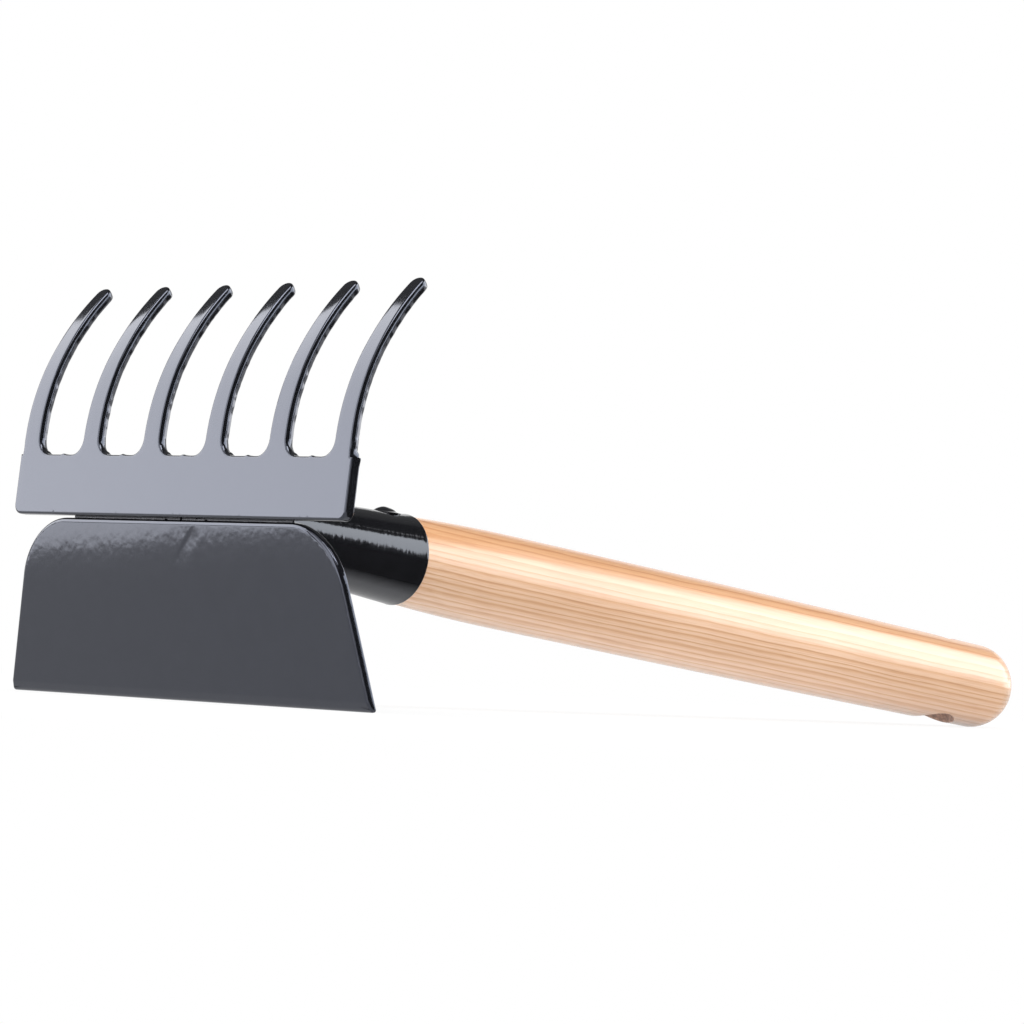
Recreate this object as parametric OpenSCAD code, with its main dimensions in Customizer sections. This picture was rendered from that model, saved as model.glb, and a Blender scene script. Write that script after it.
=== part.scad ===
// Two-sided hand tool: a six-tine rake above and a trapezoid hoe below, on one wooden handle.
// It stands as it rests on a floor: on the hoe's cutting edge and on the rounded butt of the handle.
// +X runs from the blades to the butt, +Z is up and the tool is symmetric about Y = 0.

/* [Handle] */
// Largest diameter of the grip
grip_d = 26.3; // [25.6:0.1:34]
// Diameter of the wood at its shoulder against the socket rim
shoulder_d = 24.2; // [23.4:0.1:25]
// Diameter that the grip tapers to at the butt
butt_d = 24.9; // [24:0.1:25.6]
// Length of wood that shows, from the socket rim to the butt
grip_len = 248.4; // [160:0.1:420]
// Length over which the grip swells up from its shoulder
neck_len = 40; // [10:1:60]
// Distance from the rim to where the grip starts to taper towards the butt
taper_start = 100; // [60:1:150]
// Radius of the rounding at the butt
butt_round = 11.9; // [4:0.1:12]
// Length of the tapered tenon inside the socket
tenon_len = 60; // [20:1:66]
// Clearance between the tenon and the socket, on the radius
tenon_gap = 0.05; // [0.02:0.01:0.3]

/* [Hang hole] */
// Diameter of the hole through the handle
hang_d = 8.4; // [4:0.1:10]
// Distance from the butt to the middle of the hole
hang_from_butt = 28.2; // [16:0.1:60]
// Diameter of the flared mouth under the handle
hang_mouth_d = 15.2; // [11:0.1:17]
// Depth of the flare from the under side of the handle
hang_mouth_depth = 7.4; // [3:0.1:10]
// Width of the small chamfer at the upper mouth
hang_chamfer = 0.9; // [0.3:0.1:1.5]

/* [Socket] */
// Outer diameter of the socket at its rim
rim_d = 25.2; // [25:0.1:30]
// Outer diameter of the socket where it meets the blades
nose_d = 16.2; // [13:0.1:20]
// Distance from the rake's face to the socket rim
socket_len = 79.8; // [72:0.1:120]
// Sheet thickness of the socket
socket_wall = 1.5; // [0.8:0.1:1.6]
// Rounding of the outer edge of the rim
rim_round = 0.5; // [0.2:0.1:0.7]

/* [Nail] */
// Diameter of the nail's domed head
nail_head_d = 6.4; // [5:0.1:9]
// Height of the dome above the socket
nail_head_h = 1.2; // [0.8:0.1:2.2]
// Diameter of the nail's shank
nail_d = 2.8; // [2:0.1:3.6]
// Length of the shank under the head
nail_len = 16; // [8:0.5:20]
// Distance from the socket rim to the nail
nail_from_rim = 7.3; // [5:0.1:14]
// Clearance around the shank, on the radius
nail_gap = 0.05; // [0.02:0.01:0.2]

/* [Rake blade] */
// Number of tines
tine_count = 6; // [4:1:7]
// Width of the rake blade
rake_w = 137; // [120:0.5:180]
// Sheet thickness of the rake blade
rake_t = 3.2; // [2:0.1:4]
// Height of the strip below the slots
strip_h = 16.3; // [13:0.1:19]
// Length of the whole blade along the sheet, from its lower edge to the tips
rake_len = 70.2; // [60:0.1:90]
// Width of a tine at its root
tine_root_w = 7.1; // [5:0.1:10]
// Width of a tine at its tip
tine_tip_w = 4.7; // [3:0.1:5]
// Step from the side of the strip in to the side of the outer tine
tine_step = 0.7; // [0.3:0.1:2]
// Radius in the bottom corners of the slots
slot_r = 4.5; // [2:0.1:5]
// Radius of the lower corners of the strip
strip_corner_r = 2.6; // [0.5:0.1:4]
// Height at which the tines start to bend back
straight_len = 20.4; // [20:0.1:30]
// Radius of the first part of the bend, on the front face
bend_r_low = 59; // [40:1:120]
// Angle of the first part of the bend
bend_a_low = 24; // [10:1:30]
// Radius of the rest of the bend, on the front face
bend_r_high = 78; // [50:1:200]
// Forward lean of the strip
rake_lean = 1.2; // [0:0.1:6]
// Distance of the strip's lower edge below the handle's axis
rake_drop = 1.75; // [1:0.05:3]

/* [Hoe blade] */
// Width of the cutting edge
hoe_w = 149; // [130:0.5:200]
// Height of the hoe along its face
hoe_h = 47.5; // [40:0.1:80]
// Sheet thickness of the hoe
hoe_t = 2.2; // [1.6:0.1:2.6]
// Slant of the sides
hoe_slant = 14.5; // [5:0.1:20]
// Radius of the shoulders
shoulder_r = 20.2; // [6:0.1:28]
// Radius of the lower corners
hoe_corner_r = 0.8; // [0.5:0.1:4]
// Lean of the hoe back towards the user
hoe_lean = 14.2; // [5:0.1:25]
// Gap between the rake's lower edge and the hoe's upper edge, on the front
blade_gap = 0.9; // [0.6:0.05:1.5]
// Distance of the hoe's upper edge behind the rake's face
hoe_setback = 0.5; // [0:0.05:0.8]
// Height of the bevel along the cutting edge
bevel_h = 2.7; // [1:0.1:6]
// Thickness left at the cutting edge
edge_t = 1.4; // [0.5:0.1:1.4]

/* [Welds] */
// Radius of the weld bead round the socket's nose
nose_bead_r = 2.4; // [1.5:0.1:3]
// Radius of the seam bead between the blades
seam_bead_r = 2; // [1.6:0.1:2.4]
// Distance that the seam bead stops short of the hoe's shoulders
seam_end_gap = 1.5; // [0:0.5:20]

/* [Hidden] */
$fn = 96;

steel_color = "#24262b";
wood_color = "#e9c194";
profile_steps = 12;
// Distance that a cut runs past a face, and the size of a block that cuts all beyond a plane
past = 1;
far = 200;
// Overlaps that make one solid of the two stretches of the bend, and of a tine and its round end
bend_lap = 0.2;
end_lap = 0.1;

// Along the axis, measured from the rake's face
butt_x = socket_len + grip_len;
hang_x = butt_x - hang_from_butt;
nail_x = socket_len - nail_from_rim;

// Handle profile: distance from the rim in, radius out
grip_r = grip_d / 2;
function swell(x) = (grip_d - shoulder_d) / 2 * pow(max(0, 1 - x / neck_len), 2);
function taper(x) = (grip_d - butt_d) / 2 * pow(max(0, (x - taper_start) / (grip_len - taper_start)), 2);
function wood_r(x) = grip_r - swell(x) - taper(x);
round_x = grip_len - butt_round;
round_r = wood_r(round_x);

// Socket cone
function socket_r(x) = nose_d / 2 + (rim_d - nose_d) / 2 * (x - rake_t) / (socket_len - rake_t);
cone_angle = atan((rim_d - nose_d) / 2 / (socket_len - rake_t));
socket_skin = socket_wall / cos(cone_angle);
function bore_r(x) = socket_r(x) - socket_skin;
tenon_x = socket_len - tenon_len;

// Bend of the tines, in the rake's own frame
tip_r = tine_tip_w / 2;
low_s = bend_r_low * bend_a_low * PI / 180;
bend_a_high = (rake_len - tip_r - straight_len - low_s) / bend_r_high * 180 / PI;
tip_angle = bend_a_low + bend_a_high;
low_end_x = bend_r_low * (1 - cos(bend_a_low));
low_end_z = straight_len + bend_r_low * sin(bend_a_low);
high_x = low_end_x + bend_r_high * cos(bend_a_low);
high_z = low_end_z - bend_r_high * sin(bend_a_low);
tip_x = high_x - bend_r_high * cos(tip_angle);
tip_z = high_z + bend_r_high * sin(tip_angle);
tine_narrowing = (tine_root_w - tine_tip_w) / (rake_len - tip_r - strip_h);
low_end_w = tine_root_w - tine_narrowing * (straight_len + low_s - strip_h);
tine_pitch = (rake_w - 2 * tine_step - tine_root_w) / (tine_count - 1);
tine_ys = [for (i = [0 : tine_count - 1]) (i - (tine_count - 1) / 2) * tine_pitch];
slot_ys = [for (i = [0 : tine_count - 2]) (tine_ys[i] + tine_ys[i + 1]) / 2];

// Hoe outline, in the hoe's own frame with its upper edge at z = 0
function hoe_half(z) = hoe_w / 2 - (hoe_h + z) * tan(hoe_slant);
shoulder_y = hoe_half(-shoulder_r) - shoulder_r / cos(hoe_slant);
shoulder_side_z = -shoulder_r + shoulder_r * sin(hoe_slant);
corner_rise = hoe_corner_r * (1 + sin(hoe_slant));
corner_y = hoe_half(-hoe_h + hoe_corner_r) - hoe_corner_r / cos(hoe_slant);

// Seam between the blades
hoe_top_z = -rake_drop - blade_gap;
hoe_back_x = hoe_setback + hoe_t * cos(hoe_lean);
hoe_back_z = hoe_top_z + hoe_t * sin(hoe_lean);
seam_z = (hoe_back_z - rake_drop) / 2;

// Stance: a line from the hoe's edge that touches the rounded butt from below
edge_x = hoe_setback + hoe_h * sin(hoe_lean) + (hoe_t - edge_t) * cos(hoe_lean);
edge_z = hoe_top_z - hoe_h * cos(hoe_lean) + (hoe_t - edge_t) * sin(hoe_lean);
ball_x = butt_x - butt_round;
ball_z = butt_round - round_r;
reach = norm([ball_x - edge_x, ball_z - edge_z]);
pitch = atan2(ball_z - edge_z, ball_x - edge_x) - asin(butt_round / reach);
lift = edge_x * sin(pitch) - edge_z * cos(pitch);
front_x = -rake_drop * sin(pitch);
back_x = ball_x * cos(pitch) - ball_z * sin(pitch) + butt_round;
middle_x = (front_x + back_x) / 2;

module stance() {
    translate([-middle_x, 0, lift]) rotate([0, pitch, 0]) children();
}

// A solid of revolution whose profile points are [radius, distance along the handle's axis]
module turned() {
    rotate([0, 90, 0]) rotate_extrude() children();
}

// The rake's own frame: lower front edge at the origin, X through the sheet, Z up along it
module on_rake() {
    translate([0, 0, -rake_drop]) rotate([0, -rake_lean, 0]) children();
}

// The hoe's own frame: upper front edge at the origin, X through the sheet, Z up along it
module on_hoe() {
    translate([hoe_setback, 0, hoe_top_z]) rotate([0, -hoe_lean, 0]) children();
}

// Everything in front of the rake's back face, above the seam
module rake_side() {
    intersection() {
        on_rake() translate([rake_t - far, -far / 2, -far / 2]) cube([far, far, far]);
        translate([-far / 2, -far / 2, seam_z]) cube([far, far, far]);
    }
}

// Everything in front of the hoe's back face, below the seam
module hoe_side() {
    intersection() {
        on_hoe() translate([hoe_t - far, -far / 2, -far]) cube([far, far, 2 * far]);
        translate([-far / 2, -far / 2, seam_z - far]) cube([far, far, far]);
    }
}

// The nail's own frame: on the socket's upper surface, Z out along the nail
module at_nail() {
    translate([nail_x, 0, socket_r(nail_x)]) rotate([0, -cone_angle, 0]) children();
}

module nail_hole() {
    at_nail() translate([0, 0, -nail_len - nail_gap])
        cylinder(r = nail_d / 2 + nail_gap, h = nail_len + rim_d);
}

module handle_profile() {
    polygon(concat(
        [[0, tenon_x], [bore_r(tenon_x) - tenon_gap, tenon_x], [bore_r(socket_len) - tenon_gap, socket_len]],
        [for (i = [0 : profile_steps]) let (x = neck_len * i / profile_steps) [wood_r(x), socket_len + x]],
        [for (i = [0 : profile_steps])
            let (x = taper_start + (round_x - taper_start) * i / profile_steps) [wood_r(x), socket_len + x]],
        [[round_r - butt_round, ball_x], [round_r - butt_round, butt_x], [0, butt_x]]
    ));
    intersection() {
        translate([round_r - butt_round, ball_x]) circle(r = butt_round);
        translate([0, ball_x]) square([grip_d, 2 * butt_round]);
    }
}

module hang_hole() {
    under_z = -wood_r(grip_len - hang_from_butt);
    flare = (hang_mouth_d - hang_d) / 2 / hang_mouth_depth;
    translate([hang_x, 0, -grip_d]) cylinder(d = hang_d, h = 2 * grip_d);
    translate([hang_x, 0, under_z - past])
        cylinder(r1 = hang_mouth_d / 2 + flare * past, r2 = hang_d / 2, h = hang_mouth_depth + past);
    translate([hang_x, 0, -under_z - hang_chamfer])
        cylinder(r1 = hang_d / 2, r2 = hang_d / 2 + hang_chamfer + past, h = hang_chamfer + past);
}

module handle() {
    color(wood_color) stance() difference() {
        turned() handle_profile();
        hang_hole();
        nail_hole();
    }
}

// The socket's outer cone as a full solid, from x = start to x = end
module cone_solid(start, end) {
    turned() polygon([[0, start], [socket_r(start), start], [socket_r(end), end], [0, end]]);
}

module socket() {
    color(steel_color) stance() difference() {
        turned() polygon([
            [bore_r(-rake_t), -rake_t],
            [socket_r(-rake_t), -rake_t],
            [socket_r(socket_len - rim_round), socket_len - rim_round],
            [socket_r(socket_len) - rim_round, socket_len],
            [bore_r(socket_len), socket_len]
        ]);
        rake_side();
        hoe_side();
        nail_hole();
    }
}

module socket_nail() {
    dome_r = (pow(nail_head_d / 2, 2) + pow(nail_head_h, 2)) / (2 * nail_head_h);
    color(steel_color) stance() union() {
        difference() {
            at_nail() intersection() {
                translate([0, 0, nail_head_h - dome_r]) sphere(r = dome_r);
                translate([0, 0, -nail_head_h]) cylinder(d = nail_head_d, h = 3 * nail_head_h);
            }
            cone_solid(0, socket_len);
        }
        at_nail() translate([0, 0, -nail_len]) cylinder(d = nail_d, h = nail_len + nail_head_h / 2);
    }
}

// Outline of the strip below the slots, with round lower corners
module strip_outline() {
    half = rake_w / 2;
    translate([-half, strip_corner_r]) square([rake_w, strip_h - strip_corner_r]);
    translate([-half + strip_corner_r, 0]) square([rake_w - 2 * strip_corner_r, strip_corner_r + past]);
    for (side = [-1, 1])
        translate([side * (half - strip_corner_r), strip_corner_r]) circle(r = strip_corner_r);
}

// Outline of one tine seen from the front, from below its root to where its round tip starts
module tine_outline() {
    polygon([
        [-tine_root_w / 2, strip_h - past],
        [tine_root_w / 2, strip_h - past],
        [low_end_w / 2, low_end_z],
        [tip_r, tip_z + rake_t],
        [-tip_r, tip_z + rake_t],
        [-low_end_w / 2, low_end_z]
    ]);
}

// The web that fills the bottom corners of the slots, as high as their radius
module slot_corners() {
    half = (tine_pitch - tine_root_w) / 2;
    difference() {
        for (y = slot_ys) translate([y - half, strip_h - past]) square([2 * half, slot_r + past]);
        for (y = slot_ys) {
            for (side = [-1, 1]) translate([y + side * (half - slot_r), strip_h + slot_r]) circle(r = slot_r);
            translate([y - half + slot_r, strip_h]) square([2 * (half - slot_r), slot_r + past]);
        }
    }
}

// A stretch of the bent sheet: radius on the front face, start angle and angle turned
module bent_sheet(r, start, turn) {
    translate([0, rake_w / 2, 0]) mirror([1, 0, 0]) rotate([90, 0, 0]) rotate([0, 0, start])
        rotate_extrude(angle = turn) translate([r - rake_t, 0]) square([rake_t, rake_w]);
}

// The half-round end of one tine, square to the sheet
module tine_end() {
    translate([tip_x, 0, tip_z]) rotate([0, tip_angle, 0]) intersection() {
        rotate([0, 90, 0]) cylinder(r = tip_r, h = rake_t);
        translate([0, -tip_r, -end_lap]) cube([rake_t, tine_tip_w, tine_tip_w]);
    }
}

module rake_blade() {
    color(steel_color) stance() on_rake() {
        intersection() {
            union() {
                translate([0, -rake_w / 2, 0]) cube([rake_t, rake_w, straight_len]);
                translate([bend_r_low, 0, straight_len]) bent_sheet(bend_r_low, 0, bend_a_low);
                translate([high_x, 0, high_z])
                    bent_sheet(bend_r_high, bend_a_low - bend_lap, bend_a_high + bend_lap);
            }
            translate([-past, 0, 0]) rotate([90, 0, 90]) linear_extrude(height = rake_len) union() {
                strip_outline();
                slot_corners();
                for (y = tine_ys) translate([y, 0]) tine_outline();
            }
        }
        for (y = tine_ys) translate([0, y, 0]) tine_end();
    }
}

module hoe_outline() {
    polygon([
        [-corner_y, -hoe_h],
        [corner_y, -hoe_h],
        [hoe_half(-hoe_h + corner_rise), -hoe_h + corner_rise],
        [hoe_half(shoulder_side_z), shoulder_side_z],
        [shoulder_y, 0],
        [-shoulder_y, 0],
        [-hoe_half(shoulder_side_z), shoulder_side_z],
        [-hoe_half(-hoe_h + corner_rise), -hoe_h + corner_rise]
    ]);
    for (side = [-1, 1]) {
        translate([side * shoulder_y, -shoulder_r]) circle(r = shoulder_r);
        translate([side * corner_y, -hoe_h + hoe_corner_r]) circle(r = hoe_corner_r);
    }
}

module hoe_blade() {
    bevel_angle = atan((hoe_t - edge_t) / bevel_h);
    color(steel_color) stance() on_hoe() difference() {
        rotate([90, 0, 90]) linear_extrude(height = hoe_t) hoe_outline();
        translate([0, 0, -hoe_h + bevel_h]) rotate([0, -bevel_angle, 0])
            translate([-far, -far / 2, -far]) cube([far, far, far]);
    }
}

// A round bead about the socket's nose, centred on the corner that it fills
module nose_bead() {
    turned() translate([socket_r(rake_t), rake_t]) circle(r = nose_bead_r);
}

// The same bead, turned to the hoe's lean
module hoe_nose_bead() {
    translate([hoe_back_x, 0, seam_z]) rotate([0, -hoe_lean, 0]) translate([-rake_t, 0, 0]) nose_bead();
}

module rake_weld() {
    color(steel_color) stance() difference() {
        nose_bead();
        rake_side();
        cone_solid(-socket_wall, socket_len);
        translate([-far / 2, -far / 2, seam_z - far]) cube([far, far, far]);
    }
}

module hoe_weld() {
    color(steel_color) stance() difference() {
        hoe_nose_bead();
        hoe_side();
        cone_solid(-socket_wall, socket_len);
        translate([-far / 2, -far / 2, seam_z]) cube([far, far, far]);
    }
}

module blade_weld() {
    seam_half = shoulder_y - seam_end_gap;
    color(steel_color) stance() difference() {
        translate([rake_t, -seam_half, seam_z]) rotate([-90, 0, 0])
            cylinder(r = seam_bead_r, h = 2 * seam_half);
        on_rake() translate([-far, -far / 2, 0]) cube([far + rake_t, far, far / 2]);
        on_hoe() translate([-far, -far / 2, -far]) cube([far + hoe_t, far, far]);
        nose_bead();
        hoe_nose_bead();
        cone_solid(-socket_wall, socket_len);
    }
}

handle();
socket();
socket_nail();
rake_blade();
hoe_blade();
rake_weld();
hoe_weld();
blade_weld();
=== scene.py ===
import math

import bmesh
import bpy
from mathutils import Matrix, Vector, noise


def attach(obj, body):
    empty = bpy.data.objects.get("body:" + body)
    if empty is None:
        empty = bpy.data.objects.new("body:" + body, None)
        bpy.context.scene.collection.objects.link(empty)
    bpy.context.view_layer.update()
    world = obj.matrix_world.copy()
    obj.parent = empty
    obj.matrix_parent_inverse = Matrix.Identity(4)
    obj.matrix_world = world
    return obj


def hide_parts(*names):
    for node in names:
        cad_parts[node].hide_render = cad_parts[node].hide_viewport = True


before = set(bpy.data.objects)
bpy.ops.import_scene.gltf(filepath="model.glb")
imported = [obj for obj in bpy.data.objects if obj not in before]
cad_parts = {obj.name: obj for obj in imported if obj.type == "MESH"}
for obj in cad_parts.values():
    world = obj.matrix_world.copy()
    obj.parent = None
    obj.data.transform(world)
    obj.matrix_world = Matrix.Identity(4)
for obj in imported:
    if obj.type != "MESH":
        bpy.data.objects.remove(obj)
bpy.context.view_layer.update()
print("frame loaded")

mm = 0.001
smoothBelow = math.radians(38)

# how the tool stands on the floor: tilt of the handle, and where its axis meets the rake's face
stance = {"pitch": math.radians(6.74168), "back": 162.942 * mm, "lift": 49.6847 * mm}
toolPlace = (Matrix.Translation((-stance["back"], 0, stance["lift"]))
             @ Matrix.Rotation(stance["pitch"], 4, "Y"))
millimetres = Matrix.Scale(mm, 4)


# small helpers for meshes

def makeObject(bm, name, *materials):
    mesh = bpy.data.meshes.new(name)
    bm.to_mesh(mesh)
    bm.free()
    for material in materials:
        mesh.materials.append(material)
    made = bpy.data.objects.new(name, mesh)
    bpy.context.scene.collection.objects.link(made)
    return made


def settle(bm, name, place, materials, slotName, *nodes):
    # the place goes into the mesh, so that the object stays at the origin
    bmesh.ops.transform(bm, matrix=place @ millimetres, verts=bm.verts)
    piece = makeObject(bm, name, *materials)
    piece.data.shade_smooth()
    piece.data.set_sharp_from_angle(angle=smoothBelow)
    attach(piece, "root")
    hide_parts(*nodes)
    print(name, "made,", len(piece.data.polygons), "faces")
    return piece


def keepFlats(piece):
    # large flat faces lead the shading, so that rolled edges do not bend it
    modifier = piece.modifiers.new("flats", "WEIGHTED_NORMAL")
    modifier.weight = 60
    modifier.keep_sharp = True


def addPath(bm, points):
    verts = [bm.verts.new(point) for point in points]
    edges = [bm.edges.new(pair) for pair in zip(verts, verts[1:])]
    return verts + edges


def turnAbout(bm, points, axis, steps, mergeWithin, closed=False):
    # a full turn of a line of points, with the seam and the poles closed
    path = addPath(bm, points)
    if closed:
        path.append(bm.edges.new((path[len(points) - 1], path[0])))
    bmesh.ops.spin(bm, geom=path, cent=(0, 0, 0), axis=axis, angle=math.tau, steps=steps,
                   use_merge=True, use_duplicate=False)
    bmesh.ops.remove_doubles(bm, verts=bm.verts, dist=mergeWithin)
    bmesh.ops.recalc_face_normals(bm, faces=bm.faces)


def arcPoints(centre, radius, start, end, count):
    # points [along, out] from angle start to end, measured from the outward direction
    points = []
    for i in range(count + 1):
        angle = start + (end - start) * i / count
        points.append((centre[0] + radius * math.sin(angle), 0, centre[1] + radius * math.cos(angle)))
    return points


def roundEdges(bm, edges, offset, segments):
    bmesh.ops.bevel(bm, geom=edges, offset=offset, offset_type="OFFSET", segments=segments,
                    profile=0.5, affect="EDGES", material=-1, clamp_overlap=False, loop_slide=True)


def roundCorners(bm, corners, offset, segments):
    bmesh.ops.bevel(bm, geom=corners, offset=offset, offset_type="OFFSET", segments=segments,
                    profile=0.5, affect="VERTICES", material=-1, clamp_overlap=False)


def cutAcross(bm, axis, places):
    normal = Vector((0, 0, 0))
    normal[axis] = 1
    for place in places:
        bmesh.ops.bisect_plane(bm, geom=bm.verts[:] + bm.edges[:] + bm.faces[:], dist=1e-7,
                               plane_co=normal * place, plane_no=normal)


def stations(start, end, step):
    # evenly spaced places from start to end, about one step apart
    count = max(1, round((end - start) / step))
    return [start + (end - start) * i / count for i in range(count + 1)]


def vertsOf(result):
    return [item for item in result["geom"] if isinstance(item, bmesh.types.BMVert)]


def ripple(point, scale, seed=0.0):
    x, y, z = point
    return noise.noise(Vector((x * scale + seed, y * scale - seed, z * scale + 0.37 * seed)))


# small helpers for materials

class Board:
    # a node tree with short calls for adding and joining nodes
    def __init__(self, tree):
        self.tree = tree

    def add(self, kind, **settings):
        node = self.tree.nodes.new("ShaderNode" + kind)
        for key, value in settings.items():
            if key in node.inputs:
                node.inputs[key].default_value = value
            else:
                setattr(node, key, value)
        return node

    def join(self, start, end):
        self.tree.links.new(start, end)

    def maths(self, operation, a, b=0.0):
        node = self.add("Math", operation=operation)
        for entry, value in zip(node.inputs, (a, b)):
            if isinstance(value, (int, float)):
                entry.default_value = value
            else:
                self.join(value, entry)
        return node.outputs[0]

    def ramp(self, factor, stops):
        node = self.add("ValToRGB")
        elements = node.color_ramp.elements
        while len(elements) < len(stops):
            elements.new(0.5)
        for element, (place, colour) in zip(elements, stops):
            element.position = place
            element.color = (*colour, 1) if isinstance(colour, tuple) else (colour, colour, colour, 1)
        self.join(factor, node.inputs["Fac"])
        return node.outputs["Color"]

    def blendColours(self, mode, factor, a, b):
        node = self.add("Mix", data_type="RGBA", blend_type=mode)
        for entry, value in zip((node.inputs[0], node.inputs[6], node.inputs[7]), (factor, a, b)):
            if isinstance(value, (int, float, tuple)):
                entry.default_value = value
            else:
                self.join(value, entry)
        return node.outputs[2]

    def swing(self, noiseNode, reach):
        # a noise that runs both ways from nought
        return self.maths("MULTIPLY", self.maths("SUBTRACT", noiseNode.outputs["Fac"], 0.5), reach)

    def stretchedNoise(self, vector, stretch, detail, roughness):
        mapping = self.add("Mapping", Scale=stretch)
        self.join(vector, mapping.inputs["Vector"])
        noiseNode = self.add("TexNoise", Scale=1.0, Detail=detail, Roughness=roughness)
        self.join(mapping.outputs["Vector"], noiseNode.inputs["Vector"])
        return noiseNode

    def noiseAlong(self, value, stretch):
        # a noise that changes with one value only
        line = self.add("CombineXYZ")
        self.join(self.maths("MULTIPLY", value, stretch), line.inputs["X"])
        noiseNode = self.add("TexNoise", Scale=1.0, Detail=1.0)
        self.join(line.outputs["Vector"], noiseNode.inputs["Vector"])
        return noiseNode


def newGroup(name, inputs, outputs):
    group = bpy.data.node_groups.new(name, "ShaderNodeTree")
    for socketName, kind, default in inputs:
        entry = group.interface.new_socket(name=socketName, in_out="INPUT",
                                           socket_type="NodeSocket" + kind)
        if default is not None:
            entry.default_value = default
    for socketName, kind in outputs:
        group.interface.new_socket(name=socketName, in_out="OUTPUT", socket_type="NodeSocket" + kind)
    given = group.nodes.new("NodeGroupInput").outputs
    out = group.nodes.new("NodeGroupOutput").inputs
    return group, Board(group), given, out


def newMaterial(name):
    material = bpy.data.materials.new(name)
    material.use_nodes = True
    board = Board(material.node_tree)
    return material, board, material.node_tree.nodes["Principled BSDF"]


def placeGroup(board, group, values):
    node = board.tree.nodes.new("ShaderNodeGroup")
    node.node_tree = group
    for key, value in values.items():
        node.inputs[key].default_value = value
    return node


# the tool's own axes in millimetres, so that grain and ripples follow the handle
def toolCoordinates(board, stretch=(1, 1, 1)):
    coordinates = board.add("TexCoord")
    unturn = board.add("Mapping", vector_type="TEXTURE")
    unturn.inputs["Location"].default_value = (-stance["back"], 0, stance["lift"])
    unturn.inputs["Rotation"].default_value = (0, stance["pitch"], 0)
    board.join(coordinates.outputs["Object"], unturn.inputs["Vector"])
    scale = board.add("Mapping")
    scale.inputs["Scale"].default_value = tuple(value / mm for value in stretch)
    board.join(unturn.outputs["Vector"], scale.inputs["Vector"])
    return scale.outputs["Vector"]


# enamel: thick glossy black paint with orange peel, faint runs and dust

def makeEnamelSkin():
    group, board, given, out = newGroup(
        "enamelSkin",
        [("Vector", "Vector", None), ("Peel Size", "Float", 1.0), ("Peel Height", "Float", 1.0),
         ("Run Height", "Float", 1.0), ("Colour", "Color", (0.01, 0.01, 0.012, 1))],
        [("Color", "Color"), ("Roughness", "Float"), ("Normal", "Vector")])
    peel = board.add("TexNoise", Detail=1.5, Roughness=0.4)
    board.join(given["Vector"], peel.inputs["Vector"])
    board.join(given["Peel Size"], peel.inputs["Scale"])
    runs = board.add("TexNoise", Scale=0.16, Detail=1.0, Roughness=0.4)
    board.join(given["Vector"], runs.inputs["Vector"])
    height = board.maths("ADD", board.swing(peel, given["Peel Height"]),
                         board.swing(runs, given["Run Height"]))
    bump = board.add("Bump", Strength=1.0, Distance=mm)
    board.join(height, bump.inputs["Height"])
    board.join(bump.outputs["Normal"], out["Normal"])
    dust = board.add("TexNoise", Scale=2.4, Detail=3.0, Roughness=0.7)
    board.join(given["Vector"], dust.inputs["Vector"])
    dull = board.ramp(dust.outputs["Fac"], [(0.35, 0.07), (0.62, 0.11), (0.78, 0.20)])
    board.join(dull, out["Roughness"])
    speck = board.ramp(dust.outputs["Fac"], [(0.0, 0.0), (0.70, 0.0), (0.80, 1.0)])
    cloud = board.ramp(runs.outputs["Fac"], [(0.3, (0.85, 0.85, 0.85)), (0.7, (1.15, 1.15, 1.15))])
    tinted = board.blendColours("MULTIPLY", 1.0, given["Colour"], cloud)
    dusty = board.maths("MULTIPLY", speck, 0.04)
    board.join(board.blendColours("MIX", dusty, tinted, (0.3, 0.3, 0.31, 1)), out["Color"])
    return group


enamelSkin = makeEnamelSkin()

enamelFinish = {
    "rake": {"Peel Size": 0.45, "Peel Height": 0.002, "Run Height": 0.012},
    "hoe": {"Peel Size": 0.42, "Peel Height": 0.022, "Run Height": 0.014},
    "socket": {"Peel Size": 0.7, "Peel Height": 0.022, "Run Height": 0.010},
    "beads": {"Peel Size": 0.8, "Peel Height": 0.02, "Run Height": 0.05},
    "colour": (0.0050, 0.0052, 0.0064, 1), "gloss": 1.0,
    "tint": {"rake": (0.76, 0.81, 1.0, 1), "hoe": (0.76, 0.81, 1.0, 1),
             "socket": (0.90, 0.92, 1.0, 1), "beads": (0.90, 0.92, 1.0, 1)},
}


def makeEnamel(name, kind, stretch=(1, 1, 1)):
    material, board, shader = newMaterial(name)
    skin = placeGroup(board, enamelSkin, enamelFinish[kind])
    skin.inputs["Colour"].default_value = enamelFinish["colour"]
    board.join(toolCoordinates(board, stretch), skin.inputs["Vector"])
    board.join(skin.outputs["Color"], shader.inputs["Base Color"])
    board.join(skin.outputs["Roughness"], shader.inputs["Roughness"])
    board.join(skin.outputs["Normal"], shader.inputs["Normal"])
    shader.inputs["Specular IOR Level"].default_value = enamelFinish["gloss"]
    shader.inputs["Specular Tint"].default_value = enamelFinish["tint"][kind]
    return material


rakeEnamel = makeEnamel("rakeEnamel", "rake")
hoeEnamel = makeEnamel("hoeEnamel", "hoe")
socketEnamel = makeEnamel("socketEnamel", "socket", (1.6, 0.5, 0.5))
beadEnamel = makeEnamel("beadEnamel", "beads")
print("enamel ready")


# ash: growth rings cut lengthwise, fine pores, varnish

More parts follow.
